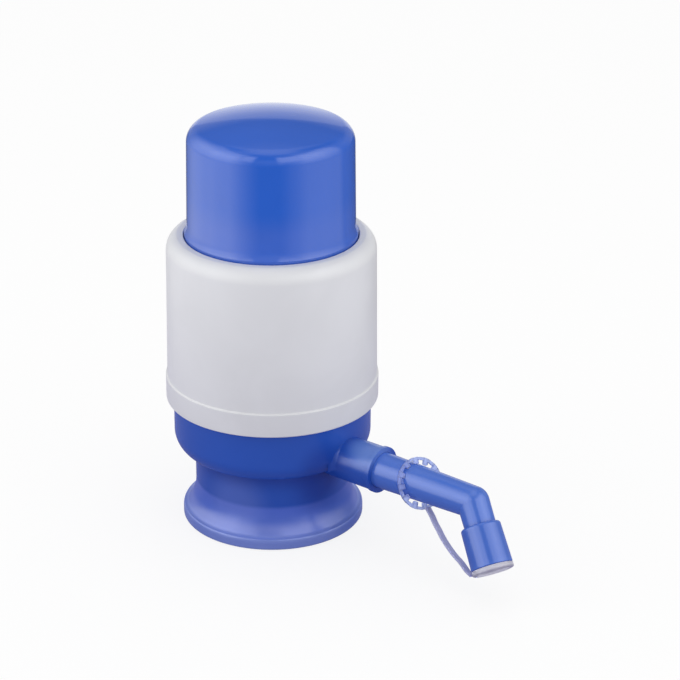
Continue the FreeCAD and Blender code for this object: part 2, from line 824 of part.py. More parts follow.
def push_cap():
    """Blue domed cap: stop and guide rings on the skirt, press ring under the dome."""
    body = new_body("push_cap")
    wall, top_radius = size("cap_wall"), cap_radius - size("cap_draft")
    corner, rise = size("cap_corner"), size("cap_rise")
    # The dome is one large arc that runs into the smaller arc of the corner.
    corner_x = top_radius - corner
    crown = (corner_x * corner_x + rise * rise) / (rise * 2)
    crown_y = cap_top - crown
    reach = crown - corner
    corner_y = crown_y + (reach * reach - corner_x * corner_x).root()
    join_x = corner_x * crown / reach
    join_y = crown_y + (corner_y - crown_y) * crown / reach
    inner_corner = corner - wall
    inner_top = cap_top - wall
    inner_rise = inner_top - corner_y - inner_corner
    inner_crown = (corner_x * corner_x + inner_rise * inner_rise) / (inner_rise * 2)
    skirt = cap_skirt_radius
    skirt_top = shoulder_top + size("cap_lip_height")
    flare_top = skirt_top + size("cap_flare_height")
    low = shoulder_top - size("cap_skirt_length")
    guide = housing_bore - size("running_gap")
    stop = skirt + size("cap_stop_width")
    stop_top = lip_under - size("running_gap")
    ring = size("cap_stop_thickness")
    turned(body, "shell", [
        (skirt - wall, low),
        (guide, low),
        (guide, low + ring),
        (skirt, low + ring),
        (skirt, stop_top - ring),
        (stop, stop_top - ring),
        (stop, stop_top),
        (skirt, stop_top),
        (skirt, skirt_top),
        (cap_radius, flare_top),
        (top_radius, corner_y, corner, "left"),
        (join_x, join_y, crown, "left"),
        (0, cap_top),
        (0, inner_top, inner_crown, "right"),
        (corner_x, corner_y + inner_corner, inner_corner, "right"),
        (corner_x + inner_corner, corner_y),
        (cap_radius - wall, flare_top),
        (skirt - wall, skirt_top),
    ])
    press = plate_radius - size("press_ring_inset")
    turned(body, "press_ring", [
        (press - wall, plate_top),
        (press, plate_top),
        (press, corner_y + inner_corner + wall / 2),
        (press - wall, corner_y + inner_corner + wall / 2),
    ])
    return body


# ---------------------------------------------------------------- spout

spout_frame = Placement(Vector(0, 0, spout_height.value),
                        Rotation(Vector(1, 0, 0), -size("spout_turn_angle").value))
tip_frame = spout_frame * Placement(
    Vector(bend_reach.value, 0, 0),
    Rotation(Vector(0, 1, 0), 90 + size("bend_angle").value))


def spout():
    """Blue tapered pipe with a plug end, an O-ring groove and a mitred elbow."""
    body = new_body("spout")
    start, end = plug_start, size("pipe_end_radius")
    turned(body, "pipe", [
        (start, 0),
        (start, plug_radius - size("plug_chamfer")),
        (start + size("plug_chamfer"), plug_radius),
        (groove_start, plug_radius),
        (groove_start, groove_radius),
        (groove_end, groove_radius),
        (groove_end, plug_radius),
        (socket_end, plug_radius),
        (bend_reach, end),
        (bend_reach, 0),
    ], axis="H_Axis")
    placed(body, "AdditiveSphere", "elbow", at=(bend_reach, 0, 0), Radius=end)
    down = Rotation(Vector(0, 1, 0), 90 + size("bend_angle").value)
    placed(body, "AdditiveCone", "elbow_tube", down, at=(bend_reach, 0, 0),
           Radius1=end, Radius2=end - size("elbow_end_draft"), Height=size("elbow_length"))
    placed(body, "SubtractiveCylinder", "pipe_bore", ALONG_X, at=(start - OVERCUT, 0, 0),
           Radius=pipe_bore, Height=bend_reach - start + OVERCUT)
    placed(body, "SubtractiveSphere", "elbow_bore", at=(bend_reach, 0, 0),
           Radius=pipe_bore)
    placed(body, "SubtractiveCylinder", "tube_bore", down, at=(bend_reach, 0, 0),
           Radius=pipe_bore, Height=size("elbow_length") + OVERCUT)
    body.Placement = spout_frame
    return body


def spout_o_ring():
    """Rubber ring in the groove of the plug."""
    ring = doc.addObject("Part::Torus", "spout_o_ring")
    ring.Label = "spout_o_ring"
    bind(ring, Radius1=o_ring_radius - size("o_ring_wire"), Radius2=size("o_ring_wire"))
    middle = (groove_start + groove_end) / 2
    ring.Placement = spout_frame * Placement(Vector(middle.value, 0, 0), ALONG_X)
    return ring


def nozzle_tip():
    """Blue sleeve pressed over the end of the elbow, with the outlet bore."""
    body = new_body("nozzle_tip")
    shoulder = size("tip_shoulder")
    seat = size("elbow_length") + size("plug_gap")
    turned(body, "sleeve", [
        (tip_seat, tip_start),
        (tip_radius - shoulder, tip_start, shoulder, "left"),
        (tip_radius, tip_start + shoulder),
        (tip_end_radius, tip_end),
        (size("tip_bore"), tip_end),
        (size("tip_bore"), seat),
        (tip_seat, seat),
    ])
    body.Placement = tip_frame
    return body


# ---------------------------------------------------------------- dust cap and tether


def spout_cap():
    """Clear soft cap: flange over the end of the nozzle and a hollow plug in its bore."""
    body = new_body("spout_cap")
    face, flange = dust_face, tip_end_radius
    outer = face + size("dust_flange")
    plug, wall = size("tip_bore") - size("plug_gap"), size("dust_plug_wall")
    turned(body, "cap", [
        (0, face),
        (plug - wall, face),
        (plug - wall, face - size("dust_plug_length")),
        (plug - wall / 2, face - size("dust_plug_length")),
        (plug, face - size("dust_plug_length") + wall),
        (plug, face),
        (flange, face),
        (flange, outer - wall / 2),
        (flange - wall / 2, outer),
        (0, outer),
    ])
    body.Placement = tip_frame
    return body


def tether_ring():
    """Soft ring with nubs that hangs askew on the pipe."""
    body = new_body("tether_ring")
    radius = size("tether_radius")
    nub = radius - size("tether_nub_length")
    half = size("tether_thickness") / 2
    turned(body, "band", [(nub, -half), (radius, -half), (radius, half), (nub, half)])
    slot = placed(
        body, "SubtractiveBox", "slot",
        at=(nub - OVERCUT, -(size("tether_slot") / 2), -half - OVERCUT),
        Length=radius - size("tether_band") - nub + OVERCUT, Width=size("tether_slot"),
        Height=size("tether_thickness") + 2 * OVERCUT)
    around(body, slot, size("tether_nubs"))
    # The nubs bend back from the pipe, so they are cut to its taper.
    yaw = Rotation(Vector(0, 0, 1), size("tether_yaw_angle").value)
    pitch = Rotation(Vector(0, 1, 0), -size("tether_pitch_angle").value)
    stance = yaw * pitch * Rotation(Vector(0, 1, 0), 90)
    pipe_run = bend_reach - socket_end
    taper = (plug_radius - size("pipe_end_radius")) / pipe_run
    pipe_here = plug_radius - taper * (tether_place - socket_end)
    along_pipe = stance.inverted() * ALONG_X
    placed(body, "SubtractiveCylinder", "pipe_room", along_pipe,
           at=along_pipe.multVec(Vector(0, 0, -radius.value)),
           Radius=pipe_here + size("tether_clearance"), Height=radius * 2)
    body.Placement = spout_frame * Placement(Vector(tether_place.value, 0, 0), stance)
    return body


def tether_strap():
    """Soft flat strap from the ring to the flange of the dust cap, in the elbow's plane."""
    body = new_body("tether_strap")
    yaw, pitch, bend = size("tether_yaw_angle"), size("tether_pitch_angle"), size("bend_angle")
    facing, rising = yaw.cosine() * pitch.cosine(), pitch.sine()
    length = (facing * facing + rising * rising).root()
    reach = size("tether_radius") + size("strap_gap")
    start_x = tether_place + reach * rising / length
    start_y = -(reach * facing / length)
    along = dust_face + size("dust_flange") / 2
    rim = tip_end_radius + size("strap_gap") + size("strap_thickness") / 2
    end_x = bend_reach + along * bend.cosine() - rim * bend.sine()
    end_y = -(along * bend.sine() + rim * bend.cosine())
    half = size("strap_thickness") / 2
    first, last = size("strap_start_angle"), size("strap_end_angle")
    curve = size("strap_curve")
    sketch = new_sketch(body, "strap_outline")
    draw(sketch, [
        (start_x - half * first.sine(), start_y - half * first.cosine(), curve + half, "left"),
        (end_x - half * last.sine(), end_y - half * last.cosine()),
        (end_x + half * last.sine(), end_y + half * last.cosine(), curve - half, "right"),
        (start_x + half * first.sine(), start_y + half * first.cosine()),
    ])
    pad = body.newObject("PartDesign::Pad", "strap")
    pad.Profile = sketch
    pad.SideType = "Symmetric"
    bind(pad, Length=size("strap_width"))
    body.Tip = pad
    body.Placement = spout_frame
    return body


# ---------------------------------------------------------------- build, check and write

sub_parts = [
    clamp_collar(),
    grip_ring(),
    bottle_seal(),
    base_body(),
    deck_gasket(),
    valve_deck(),
    umbrella_valve("outlet_valve", gasket_top, size("deck_thickness")),
    bellows_retainer(),
    deck_screws(),
    bellows(),
    return_spring(),
    valve_plate("bellows_top_plate", plate_radius, plate_under,
                size("plate_thickness"), seat_up=False),
    umbrella_valve("inlet_valve", plate_under, size("plate_thickness")),
    pump_housing(),
    push_cap(),
    spout(),
    spout_o_ring(),
    nozzle_tip(),
    tether_ring(),
    tether_strap(),
    spout_cap(),
]
doc.recompute()

for item in doc.Objects:
    if "Invalid" in item.State or "Error" in item.State:
        raise RuntimeError(f"{item.Name} failed: {item.State}")
for sub_part in sub_parts:
    if sub_part.Shape.isNull() or not sub_part.Shape.isValid():
        raise RuntimeError(f"{sub_part.Label} has no valid shape")

os.makedirs("parts", exist_ok=True)
for sub_part in sub_parts:
    shape = sub_part.Shape
    print(f"{sub_part.Label:24s} solids {len(shape.Solids)}  volume {shape.Volume:10.1f}")
    shape.exportStep(f"parts/{sub_part.Label}.step")
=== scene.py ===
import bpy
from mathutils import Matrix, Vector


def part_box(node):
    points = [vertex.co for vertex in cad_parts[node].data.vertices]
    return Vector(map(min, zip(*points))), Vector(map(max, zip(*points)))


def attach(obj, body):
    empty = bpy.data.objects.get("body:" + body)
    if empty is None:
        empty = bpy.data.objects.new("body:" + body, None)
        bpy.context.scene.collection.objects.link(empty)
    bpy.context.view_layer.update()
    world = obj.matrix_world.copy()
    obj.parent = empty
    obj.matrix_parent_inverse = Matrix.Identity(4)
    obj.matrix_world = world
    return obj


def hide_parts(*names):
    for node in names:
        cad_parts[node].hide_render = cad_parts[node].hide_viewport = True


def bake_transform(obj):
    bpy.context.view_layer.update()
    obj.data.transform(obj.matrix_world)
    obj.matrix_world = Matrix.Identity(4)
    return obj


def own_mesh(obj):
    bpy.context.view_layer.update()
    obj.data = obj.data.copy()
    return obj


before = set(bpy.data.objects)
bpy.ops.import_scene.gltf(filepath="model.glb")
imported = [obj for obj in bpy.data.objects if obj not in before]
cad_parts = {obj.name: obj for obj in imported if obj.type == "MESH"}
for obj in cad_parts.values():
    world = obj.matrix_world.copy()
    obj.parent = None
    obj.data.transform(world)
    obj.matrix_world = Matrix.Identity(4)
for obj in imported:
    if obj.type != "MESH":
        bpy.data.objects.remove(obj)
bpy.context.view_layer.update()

import math

import bmesh
import bpy
from mathutils import Matrix, Vector

# ---------------------------------------------------------------- foot collar
# Blue polypropylene nut that is screwed on the bottle. Injection moulded in one piece: a plain
# neck over the thread, a wide flare that the hand grips and a rolled lip that it stands on.

MM = 0.001
AROUND = 144                  # facets of a turned piece
SHARP = math.radians(28)      # an edge that turns more than this stays crisp
TINY = 1e-6                   # a smaller radius is a point on the axis, a smaller step is none
CRISP, SOFT = 0.3, 0.4        # roundings of a moulding's edges


def size_of(node):
    """Outer radius, foot and top of a turned node of the frame, in millimetres."""
    low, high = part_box(node)
    return [round(value / MM, 2) for value in (high.x, low.z, high.z)]


def arc_points(centre, radius, start, end, count):
    """Points of an arc in the outline plane, angles in degrees."""
    angles = [math.radians(start + (end - start) * i / count) for i in range(count + 1)]
    return [(centre[0] + radius * math.cos(a), centre[1] + radius * math.sin(a)) for a in angles]


def rounded(corners, steps=5):
    """Round each corner (radius, height, rounding) of a closed outline with a small arc."""
    points = []
    for index, corner in enumerate(corners):
        here = Vector(corner[:2])
        if len(corner) == 2 or not corner[2]:
            points.append(here)
            continue
        back = Vector(corners[index - 1][:2]) - here
        ahead = Vector(corners[(index + 1) % len(corners)][:2]) - here
        half = back.angle(ahead) / 2
        back.normalize()
        ahead.normalize()
        reach = corner[2] / math.tan(half)
        centre = here + (back + ahead).normalized() * (corner[2] / math.sin(half))
        first, last = here + back * reach - centre, here + ahead * reach - centre
        turn = first.angle_signed(last)
        for step in range(steps + 1):
            points.append(centre + Matrix.Rotation(-turn * step / steps, 2) @ first)
    return points


def turned(outline, place=Matrix(), facets=AROUND):
    """Turn a closed outline of (radius, height) in millimetres about the axis."""
    shape = bmesh.new()
    count = len(outline)
    rings = []
    for radius, height in outline:
        if radius < TINY:
            rings.append([shape.verts.new(place @ Vector((0, 0, height * MM)))] * facets)
            continue
        rings.append([shape.verts.new(place @ Vector((
            radius * MM * math.cos(math.tau * k / facets),
            radius * MM * math.sin(math.tau * k / facets), height * MM)))
            for k in range(facets)])
    for index in range(count):
        low, high = rings[index], rings[(index + 1) % count]
        if low[0] is low[1] and high[0] is high[1]:
            continue
        for k in range(facets):
            n = (k + 1) % facets
            corners = [low[k], low[n], high[n], high[k]]
            shape.faces.new(dict.fromkeys(corners)).smooth = True
    for index in range(count):
        here = Vector(outline[index])
        before, after = Vector(outline[index - 1]), Vector(outline[(index + 1) % count])
        coming, going = here - before, after - here
        if min(here.x, coming.length, going.length) < TINY:
            continue
        if coming.angle(going) > SHARP:
            for k in range(facets):
                edge = shape.edges.get((rings[index][k], rings[index][(k + 1) % facets]))
                edge.smooth = False
    return shape


def new_piece(name, shape, material, body):
    """Make an object of a finished mesh and let it ride on its body, if it has one."""
    mesh = bpy.data.meshes.new(name)
    bmesh.ops.recalc_face_normals(shape, faces=shape.faces)
    shape.to_mesh(mesh)
    shape.free()
    piece = bpy.data.objects.new(name, mesh)
    bpy.context.scene.collection.objects.link(piece)
    mesh.materials.append(material)
    even = piece.modifiers.new("even_shading", "WEIGHTED_NORMAL")
    even.keep_sharp = True
    if body:
        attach(piece, body)
    return piece


def wire(tree, kind, settings=None, **inputs):
    """Add a node. An input is given by its name, or by _ and its number, and takes a value or
    the socket that feeds it."""
    made = tree.nodes.new(kind)
    for name, value in (settings or {}).items():
        setattr(made, name, value)
    for name, value in inputs.items():
        socket = made.inputs[int(name[1:]) if name[1:].isdigit() else name.replace("_", " ")]
        if isinstance(value, bpy.types.NodeSocket):
            tree.links.new(value, socket)
        else:
            socket.default_value = value
    return made


def shader(name):
    """A new node material, its tree, its principled shader and its object coordinates."""
    material = bpy.data.materials.new(name)
    material.use_nodes = True
    tree = material.node_tree
    where = wire(tree, "ShaderNodeTexCoord").outputs["Object"]
    return material, tree, tree.nodes["Principled BSDF"], where


def clouds(tree, where, scale, detail, **more):
    """A cloudy pattern whose scale is in spots per metre."""
    return wire(tree, "ShaderNodeTexNoise", Vector=where, Scale=scale, Detail=detail,
                **more).outputs["Fac"]


def ramp(tree, source, stops, ease="EASE"):
    """Colour ramp of (place, colour or grey) stops."""
    made = wire(tree, "ShaderNodeValToRGB", Fac=source)
    band = made.color_ramp
    band.interpolation = ease
    while len(band.elements) < len(stops):
        band.elements.new(1.0)
    for element, (place, colour) in zip(band.elements, stops):
        element.position = place
        colour = colour if isinstance(colour, tuple) else (colour,) * 3
        element.color = (*colour, 1.0)
    return made.outputs["Color"]


def fade(tree, value, start, full, share=1.0):
    """Rise smoothly from nothing where the value is start to the share where it is full."""
    return wire(tree, "ShaderNodeMapRange", {"interpolation_type": "SMOOTHSTEP"}, Value=value,
                From_Min=start, From_Max=full, To_Max=share).outputs["Result"]


def raised(tree, skin, height, strength, depth):
    """Let a pattern raise the skin by up to a depth in millimetres."""
    bump = wire(tree, "ShaderNodeBump", Height=height, Strength=strength, Distance=depth * MM)
    tree.links.new(bump.outputs["Normal"], skin.inputs["Normal"])


def mix_in_colour(material, amount, colour):
    """Mix a colour into the plastic's own by an amount: wear, and painted light and shade."""
    tree = material.node_tree
    own_colour = tree.nodes["Principled BSDF"].inputs["Base Color"]
    mixed = wire(tree, "ShaderNodeMix", {"data_type": "RGBA"}, _0=amount,
                 _6=own_colour.links[0].from_socket, _7=(*colour, 1.0))
    tree.links.new(mixed.outputs[2], own_colour)


def tinted_over_height(material, start, full, share, colour):
    """Mix a colour in unevenly over a piece's height: nothing at start, all at full, in
    millimetres.
    """
    tree = material.node_tree
    where = wire(tree, "ShaderNodeTexCoord").outputs["Object"]
    height = wire(tree, "ShaderNodeSeparateXYZ", _0=where).outputs["Z"]
    reached = fade(tree, height, start * MM, full * MM)
    uneven = wire(tree, "ShaderNodeMapRange", Value=clouds(tree, where, 60.0, 3.0), From_Min=0.3,
                  From_Max=0.7, To_Min=share * 0.85, To_Max=share * 1.1).outputs["Result"]
    amount = wire(tree, "ShaderNodeMath", {"operation": "MULTIPLY"}, _0=reached, _1=uneven)
    mix_in_colour(material, amount.outputs[0], colour)


def tinted_round_spot(material, spot, near, far, share, colour):
    """Mix a colour in round a spot: all of it up to near, nothing past far, in millimetres."""
    tree = material.node_tree
    away = wire(tree, "ShaderNodeVectorMath", {"operation": "DISTANCE"},
                _0=wire(tree, "ShaderNodeTexCoord").outputs["Object"],
                _1=tuple(v * MM for v in spot)).outputs["Value"]
    mix_in_colour(material, fade(tree, away, far * MM, near * MM, share), colour)


def moulded(name, colour, roughness, grain=0.12, wear=0.0):
    """Injection-moulded plastic: slight flow marks in the colour, a fine skin, a roughness that
    varies a little, and paler rubbed edges where it is worn."""
    material, tree, skin, where = shader(name)
    flow = clouds(tree, where, 26.0, 3.0, Roughness=0.55, Distortion=0.6)
    shades = ramp(tree, flow, [
        (0.30, tuple(c * 0.975 for c in colour)), (0.72, tuple(c * 1.025 for c in colour))])
    tree.links.new(shades, skin.inputs["Base Color"])
    if wear:
        edge = wire(tree, "ShaderNodeNewGeometry").outputs["Pointiness"]
        rubbed = wire(tree, "ShaderNodeMapRange", Value=edge, From_Min=0.53, From_Max=0.62,
                      To_Max=wear).outputs["Result"]
        mix_in_colour(material, rubbed, tuple(c * 0.7 + 0.28 for c in colour))
    sheen = clouds(tree, where, 34.0, 2.0, Roughness=0.5)
    tree.links.new(ramp(tree, sheen, [(0.30, roughness * 0.93), (0.70, roughness * 1.07)]),
                   skin.inputs["Roughness"])
    raised(tree, skin, clouds(tree, where, 950.0, 2.0, Roughness=0.6), grain, 0.03)
    skin.inputs["IOR"].default_value = 1.49
    return material


# The dark colour beside the plastic's own blue is painted shade; the pale ones below are painted
# sheen and highlights.
DEEP_BLUE, PAINTED_SHADE = (0.017, 0.084, 0.455), (0.004, 0.030, 0.260)
PAINTED_GRIP_SHEEN, PAINTED_RIM_HIGHLIGHT = (0.24, 0.33, 1.0), (0.80, 0.82, 1.0)
PAINTED_LIP_SHEEN, PAINTED_SIDE_SHEEN = (0.60, 0.75, 1.0), (0.55, 0.62, 1.0)
UNDER_SOCKET, UNDER_SPOUT, FLARE_SIDE = (32.0, -7.0, 26.0), (34.0, 5.5, 11.0), (6.4, -32.5, 18.0)
collar_blue = moulded("collar_blue_plastic", DEEP_BLUE, roughness=0.24)
# Painted sheen over the flare, from where it leaves the neck.
tinted_over_height(collar_blue, start=18.2, full=15.8, share=0.27, colour=PAINTED_GRIP_SHEEN)
# Painted highlight near the flare's rim.
tinted_over_height(collar_blue, start=11.5, full=7.5, share=0.11, colour=PAINTED_RIM_HIGHLIGHT)
# Painted sheen on the rolled lip.
tinted_over_height(collar_blue, start=6.2, full=4.0, share=0.10, colour=PAINTED_LIP_SHEEN)
# Painted shade on the neck, darkest just under the bowl.
tinted_over_height(collar_blue, start=22.0, full=31.0, share=0.55, colour=PAINTED_SHADE)
# Painted shadow of the socket on the neck.
tinted_round_spot(collar_blue, UNDER_SOCKET, near=4.0, far=18.0, share=0.65, colour=PAINTED_SHADE)
# Painted shade: less of the painted sheen on the flare under the spout.
tinted_round_spot(collar_blue, UNDER_SPOUT, near=5.0, far=17.0, share=0.50, colour=DEEP_BLUE)
# Painted sheen on the left of the neck and flare.
tinted_round_spot(collar_blue, FLARE_SIDE, near=4.0, far=18.0, share=0.10, colour=PAINTED_SIDE_SHEEN)

FOOT, GROUND, COLLAR_TOP = size_of("clamp_collar")
NECK, THREAD, THREAD_FOOT = 33.1, 30.8, 15.7
CONE_WIDE, CONE_TOP, CONE_NARROW, CONE_FOOT = 30.4, 14.7, 29.4, 3.5
MOUTH, MOUTH_LEDGE = 28.9, 2.8
HOLLOW_IN, HOLLOW_HIGH, HOLLOW_OUT, HOLLOW_LOW = 31.8, 6.8, 36.7, 2.8
FLARE_TOP, TOE_X, TOE_Y, TOE = 16.5, 38.1, 7.0, 2.2
LIP_SIDE, LIP_EDGE, LIP_STEPS = 3.0, 0.7, 8
lip_roll = TOE_Y - TOE - LIP_SIDE
flare_reach, flare_rise = TOE_X - NECK, FLARE_TOP - TOE_Y + TOE
flare = ((flare_reach ** 2 + flare_rise ** 2 - 2 * flare_rise * TOE)
         / (2 * (flare_reach - TOE)))
flare_x = NECK + flare
flare_lean = math.degrees(math.atan2(FLARE_TOP - TOE_Y, flare_x - TOE_X))
collar_outline = (
    rounded([(THREAD, COLLAR_TOP), (THREAD, THREAD_FOOT), (CONE_WIDE, CONE_TOP),
             (CONE_NARROW, CONE_FOOT), (CONE_NARROW, MOUTH_LEDGE), (MOUTH, MOUTH_LEDGE, CRISP),
             (MOUTH, GROUND, CRISP), (HOLLOW_IN, GROUND, SOFT), (HOLLOW_IN, HOLLOW_HIGH, SOFT),
             (HOLLOW_OUT, HOLLOW_LOW, SOFT), (HOLLOW_OUT, GROUND, SOFT),
             (FOOT, GROUND, LIP_EDGE), (FOOT, LIP_SIDE)], 6)[:-1]
    + [(TOE_X + (FOOT - TOE_X) * math.cos(t), LIP_SIDE + lip_roll * math.sin(t))
       for t in (math.pi / 2 / LIP_STEPS * k for k in range(LIP_STEPS))]
    + arc_points((TOE_X, TOE_Y), TOE, 270, 180 + flare_lean, 8)
    + arc_points((flare_x, FLARE_TOP), flare, 180 + flare_lean, 180, 26)[1:]
    + rounded([(NECK, FLARE_TOP), (NECK, COLLAR_TOP, SOFT), (THREAD, COLLAR_TOP)], 4)[1:-1])
collar = new_piece("foot_collar", turned(collar_outline), collar_blue, "collar")
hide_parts("clamp_collar")

# ---------------------------------------------------------------- grip ring and seal
# White slit collet of polypropylene that the collar squeezes on the neck, and the black
# rubber ring above it that the mouth of the bottle is pressed against.


def finish(material, *nodes):
    """Give carried-over nodes their material."""
    for name in nodes:
        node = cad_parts[name]
        node.data.materials.clear()
        node.data.materials.append(material)


def mottled(tree, skin, pattern, colours, roughness):
    """Let one pattern vary the colour and the roughness together."""
    tree.links.new(ramp(tree, pattern, colours), skin.inputs["Base Color"])
    tree.links.new(ramp(tree, pattern, roughness), skin.inputs["Roughness"])


def rubber_finish(name, colour):
    """Moulded rubber: matte, with a dusty bloom and a fine pitted skin."""
    material, tree, skin, where = shader(name)
    mottled(tree, skin, clouds(tree, where, 120.0, 4.0),
            [(0.35, colour), (0.8, tuple(c * 1.5 + 0.01 for c in colour))],
            [(0.3, 0.55), (0.7, 0.78)])
    pits = wire(tree, "ShaderNodeTexVoronoi", Vector=where, Scale=1400.0)
    raised(tree, skin, pits.outputs["Distance"], 0.3, 0.05)
    return material


inner_white = moulded("inner_white_plastic", (0.72, 0.72, 0.70), roughness=0.42, grain=0.4)
finish(inner_white, "grip_ring")
black_rubber = rubber_finish("black_rubber", (0.035, 0.035, 0.038))
finish(black_rubber, "bottle_seal")

# ---------------------------------------------------------------- base
# Blue bowl moulded with its threaded skirt, the water way and the side socket of the spout.
# It is the heart of the pump: the collar hangs under it and the housing snaps over its rim.

SOCKET_TOP, SOCKET_ROOT = (55.0, -3.0, 49.0), (40.0, -15.0, 38.0)
PAINTED_SOCKET_HIGHLIGHT = (0.36, 0.56, 1.0)
base_blue = moulded("base_blue_plastic", DEEP_BLUE, roughness=0.25)
# Painted highlight on the top of the socket.
tinted_round_spot(base_blue, SOCKET_TOP, near=6.0, far=14.0, share=0.26, colour=PAINTED_SOCKET_HIGHLIGHT)
# Painted shade round the root of the socket, on the bowl.
tinted_round_spot(base_blue, SOCKET_ROOT, near=3.0, far=14.0, share=0.50, colour=PAINTED_SHADE)
finish(base_blue, "base_body")

# ---------------------------------------------------------------- deck, valves and screws
# The white deck closes the base over a rubber gasket, and milky silicone umbrella valves sit in
# it and in the top plate. Four stainless pan-head screws hold it under the retaining ring.


def silicone_finish(name):
    """Soft milky silicone that lets some light through."""
    material, tree, skin, where = shader(name)
    mottled(tree, skin, clouds(tree, where, 240.0, 2.0),
            [(0.3, (0.66, 0.70, 0.72)), (0.7, (0.78, 0.80, 0.81))], [(0.3, 0.32), (0.7, 0.45)])
    skin.inputs["Subsurface Weight"].default_value = 0.4
    skin.inputs["Subsurface Radius"].default_value = (0.002, 0.002, 0.002)
    return material


def steel_finish(name):
    """Stainless steel with fine drawn or turned marks."""
    material, tree, skin, where = shader(name)
    drawn = wire(tree, "ShaderNodeMapping", Vector=where, Scale=(2600.0, 2600.0, 300.0))
    mottled(tree, skin, clouds(tree, drawn.outputs["Vector"], 1.0, 2.0),
            [(0.3, (0.50, 0.50, 0.51)), (0.7, (0.66, 0.66, 0.67))], [(0.3, 0.22), (0.7, 0.38)])
    skin.inputs["Metallic"].default_value = 1.0
    return material


finish(inner_white, "valve_deck", "bellows_retaining_ring", "bellows_top_plate")
finish(black_rubber, "deck_gasket")
finish(silicone_finish("milky_silicone"), "outlet_valve", "inlet_valve")
steel = steel_finish("stainless_steel")
finish(steel, "deck_screws")

# ---------------------------------------------------------------- bellows
# Blow-moulded bellows of milky polyethylene, about a millimetre thick. Its lower flange is
# clamped under the retaining ring and its upper neck sits under the cap's plate.

FLANGE, BELLOWS_FOOT, BELLOWS_TOP = size_of("bellows")
ROOT, CREST, SKIN, FOLDS = 26.0, 31.8, 1.2, 9
FLANGE_TOP, FIRST_FOLD, LAST_FOLD = 65.6, 70.6, 159.8
TOP_RIM, TOP_RIM_FOOT = 30.0, 161.3
VALLEY_ROUND, CREST_ROUND, INNER_ROUND = 0.8, 0.9, 0.5
pitch = (LAST_FOLD - FIRST_FOLD) / FOLDS
outside = [(FLANGE, BELLOWS_FOOT), (FLANGE, FLANGE_TOP, CRISP), (ROOT + SKIN, FLANGE_TOP, CRISP)]
inside = []
for fold in range(FOLDS):
    valley = FIRST_FOLD + pitch * fold
    crest = valley + pitch / 2
    outside += [(ROOT + SKIN, valley, VALLEY_ROUND if fold else 0), (CREST, crest, CREST_ROUND)]
    inside += [(ROOT, valley, INNER_ROUND if fold else 0), (CREST - SKIN, crest, INNER_ROUND)]
outside += [(ROOT + SKIN, LAST_FOLD), (ROOT + SKIN, TOP_RIM_FOOT, CRISP),
            (TOP_RIM, TOP_RIM_FOOT, CRISP), (TOP_RIM, BELLOWS_TOP, CRISP)]
inside += [(ROOT, LAST_FOLD), (ROOT, BELLOWS_TOP)]
bellows_outline = rounded([(ROOT, BELLOWS_FOOT)] + outside + inside[::-1], 3)


def film_finish(name):
    """Milky blown film, slightly clouded, that lets some light through."""
    material, tree, skin, where = shader(name)
    mottled(tree, skin, clouds(tree, where, 70.0, 4.0),
            [(0.3, (0.70, 0.73, 0.76)), (0.7, (0.80, 0.82, 0.84))], [(0.3, 0.38), (0.7, 0.52)])
    skin.inputs["Subsurface Weight"].default_value = 0.3
    skin.inputs["Subsurface Radius"].default_value = (0.003, 0.003, 0.003)
    return material


bellows = new_piece("bellows_folds", turned(bellows_outline, facets=96),
                    film_finish("milky_bellows_film"), "pump")
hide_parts("bellows")
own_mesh(bellows)

# ---------------------------------------------------------------- return spring
# Stainless wire coiled in nine turns inside the bellows. It stands on the deck and lifts the
# cap again.

COIL_OUT, COIL_FOOT, COIL_TOP = size_of("return_spring")
WIRE, COIL_TURNS, PER_TURN, ROUND_WIRE = 0.9, 9, 40, 10


def tube_skin(shape, rings):
    """Cover rings of corners with faces and close both ends."""
    for low, high in zip(rings, rings[1:]):
        for k in range(len(low)):
            n = (k + 1) % len(low)
            shape.faces.new((low[k], low[n], high[n], high[k])).smooth = True
    shape.faces.new(rings[0])
    shape.faces.new(rings[-1][::-1])
    return shape


def coiled_wire():
    """Round wire in an even helix, whose outside fills the spring's own room."""
    shape = bmesh.new()
    radius, foot, top = COIL_OUT - WIRE, COIL_FOOT + WIRE, COIL_TOP - WIRE
    steps = COIL_TURNS * PER_TURN
    rings = []
    for step in range(steps + 1):
        angle = math.tau * step / PER_TURN
        height = foot + (top - foot) * step / steps
        out = Vector((math.cos(angle), math.sin(angle), 0))
        rings.append([shape.verts.new((
            out * (radius + WIRE * math.cos(math.tau * k / ROUND_WIRE))
            + Vector((0, 0, height + WIRE * math.sin(math.tau * k / ROUND_WIRE)))) * MM)
            for k in range(ROUND_WIRE)])
    return tube_skin(shape, rings)


spring = new_piece("return_coil", coiled_wire(), steel, "pump")
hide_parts("return_spring")
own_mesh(spring)

# ---------------------------------------------------------------- housing
# White sleeve of satin plastic, snapped over the rim of the base. A raised band stiffens its
# foot, and its rounded shoulder closes in on the cap and keeps the cap's stop ring inside.

BAND, HOUSING_FOOT = size_of("pump_housing")[:2]
HOUSING, HOUSING_SEAT, HOUSING_BORE, OPENING = 43.75, 42.2, 41.5, 36.4
BAND_TOP, BAND_STEP, BAND_EDGE, BAND_FOOT_ROUND, BAND_STEP_ROUND = 65.4, 0.63, 0.45, 0.7, 0.5
SHOULDER, SHOULDER_TOP, SHOULDER_ARC, SHOULDER_ROUND = 121.4, 128.0, 7.0, 0.8
ROOF, ROOF_IN, OPENING_FLAT, OPENING_ROUND = 125.6, 38.5, 2.7, 0.6
LEDGE, LEDGE_TOP, LEDGE_FOOT = 39.6, 66.4, 64.2
SNAP, SNAP_TOP, SNAP_FOOT = 42.65, 58.5, 56.7
shoulder_start, shoulder_end = (HOUSING, SHOULDER), (OPENING + OPENING_FLAT, SHOULDER_TOP)


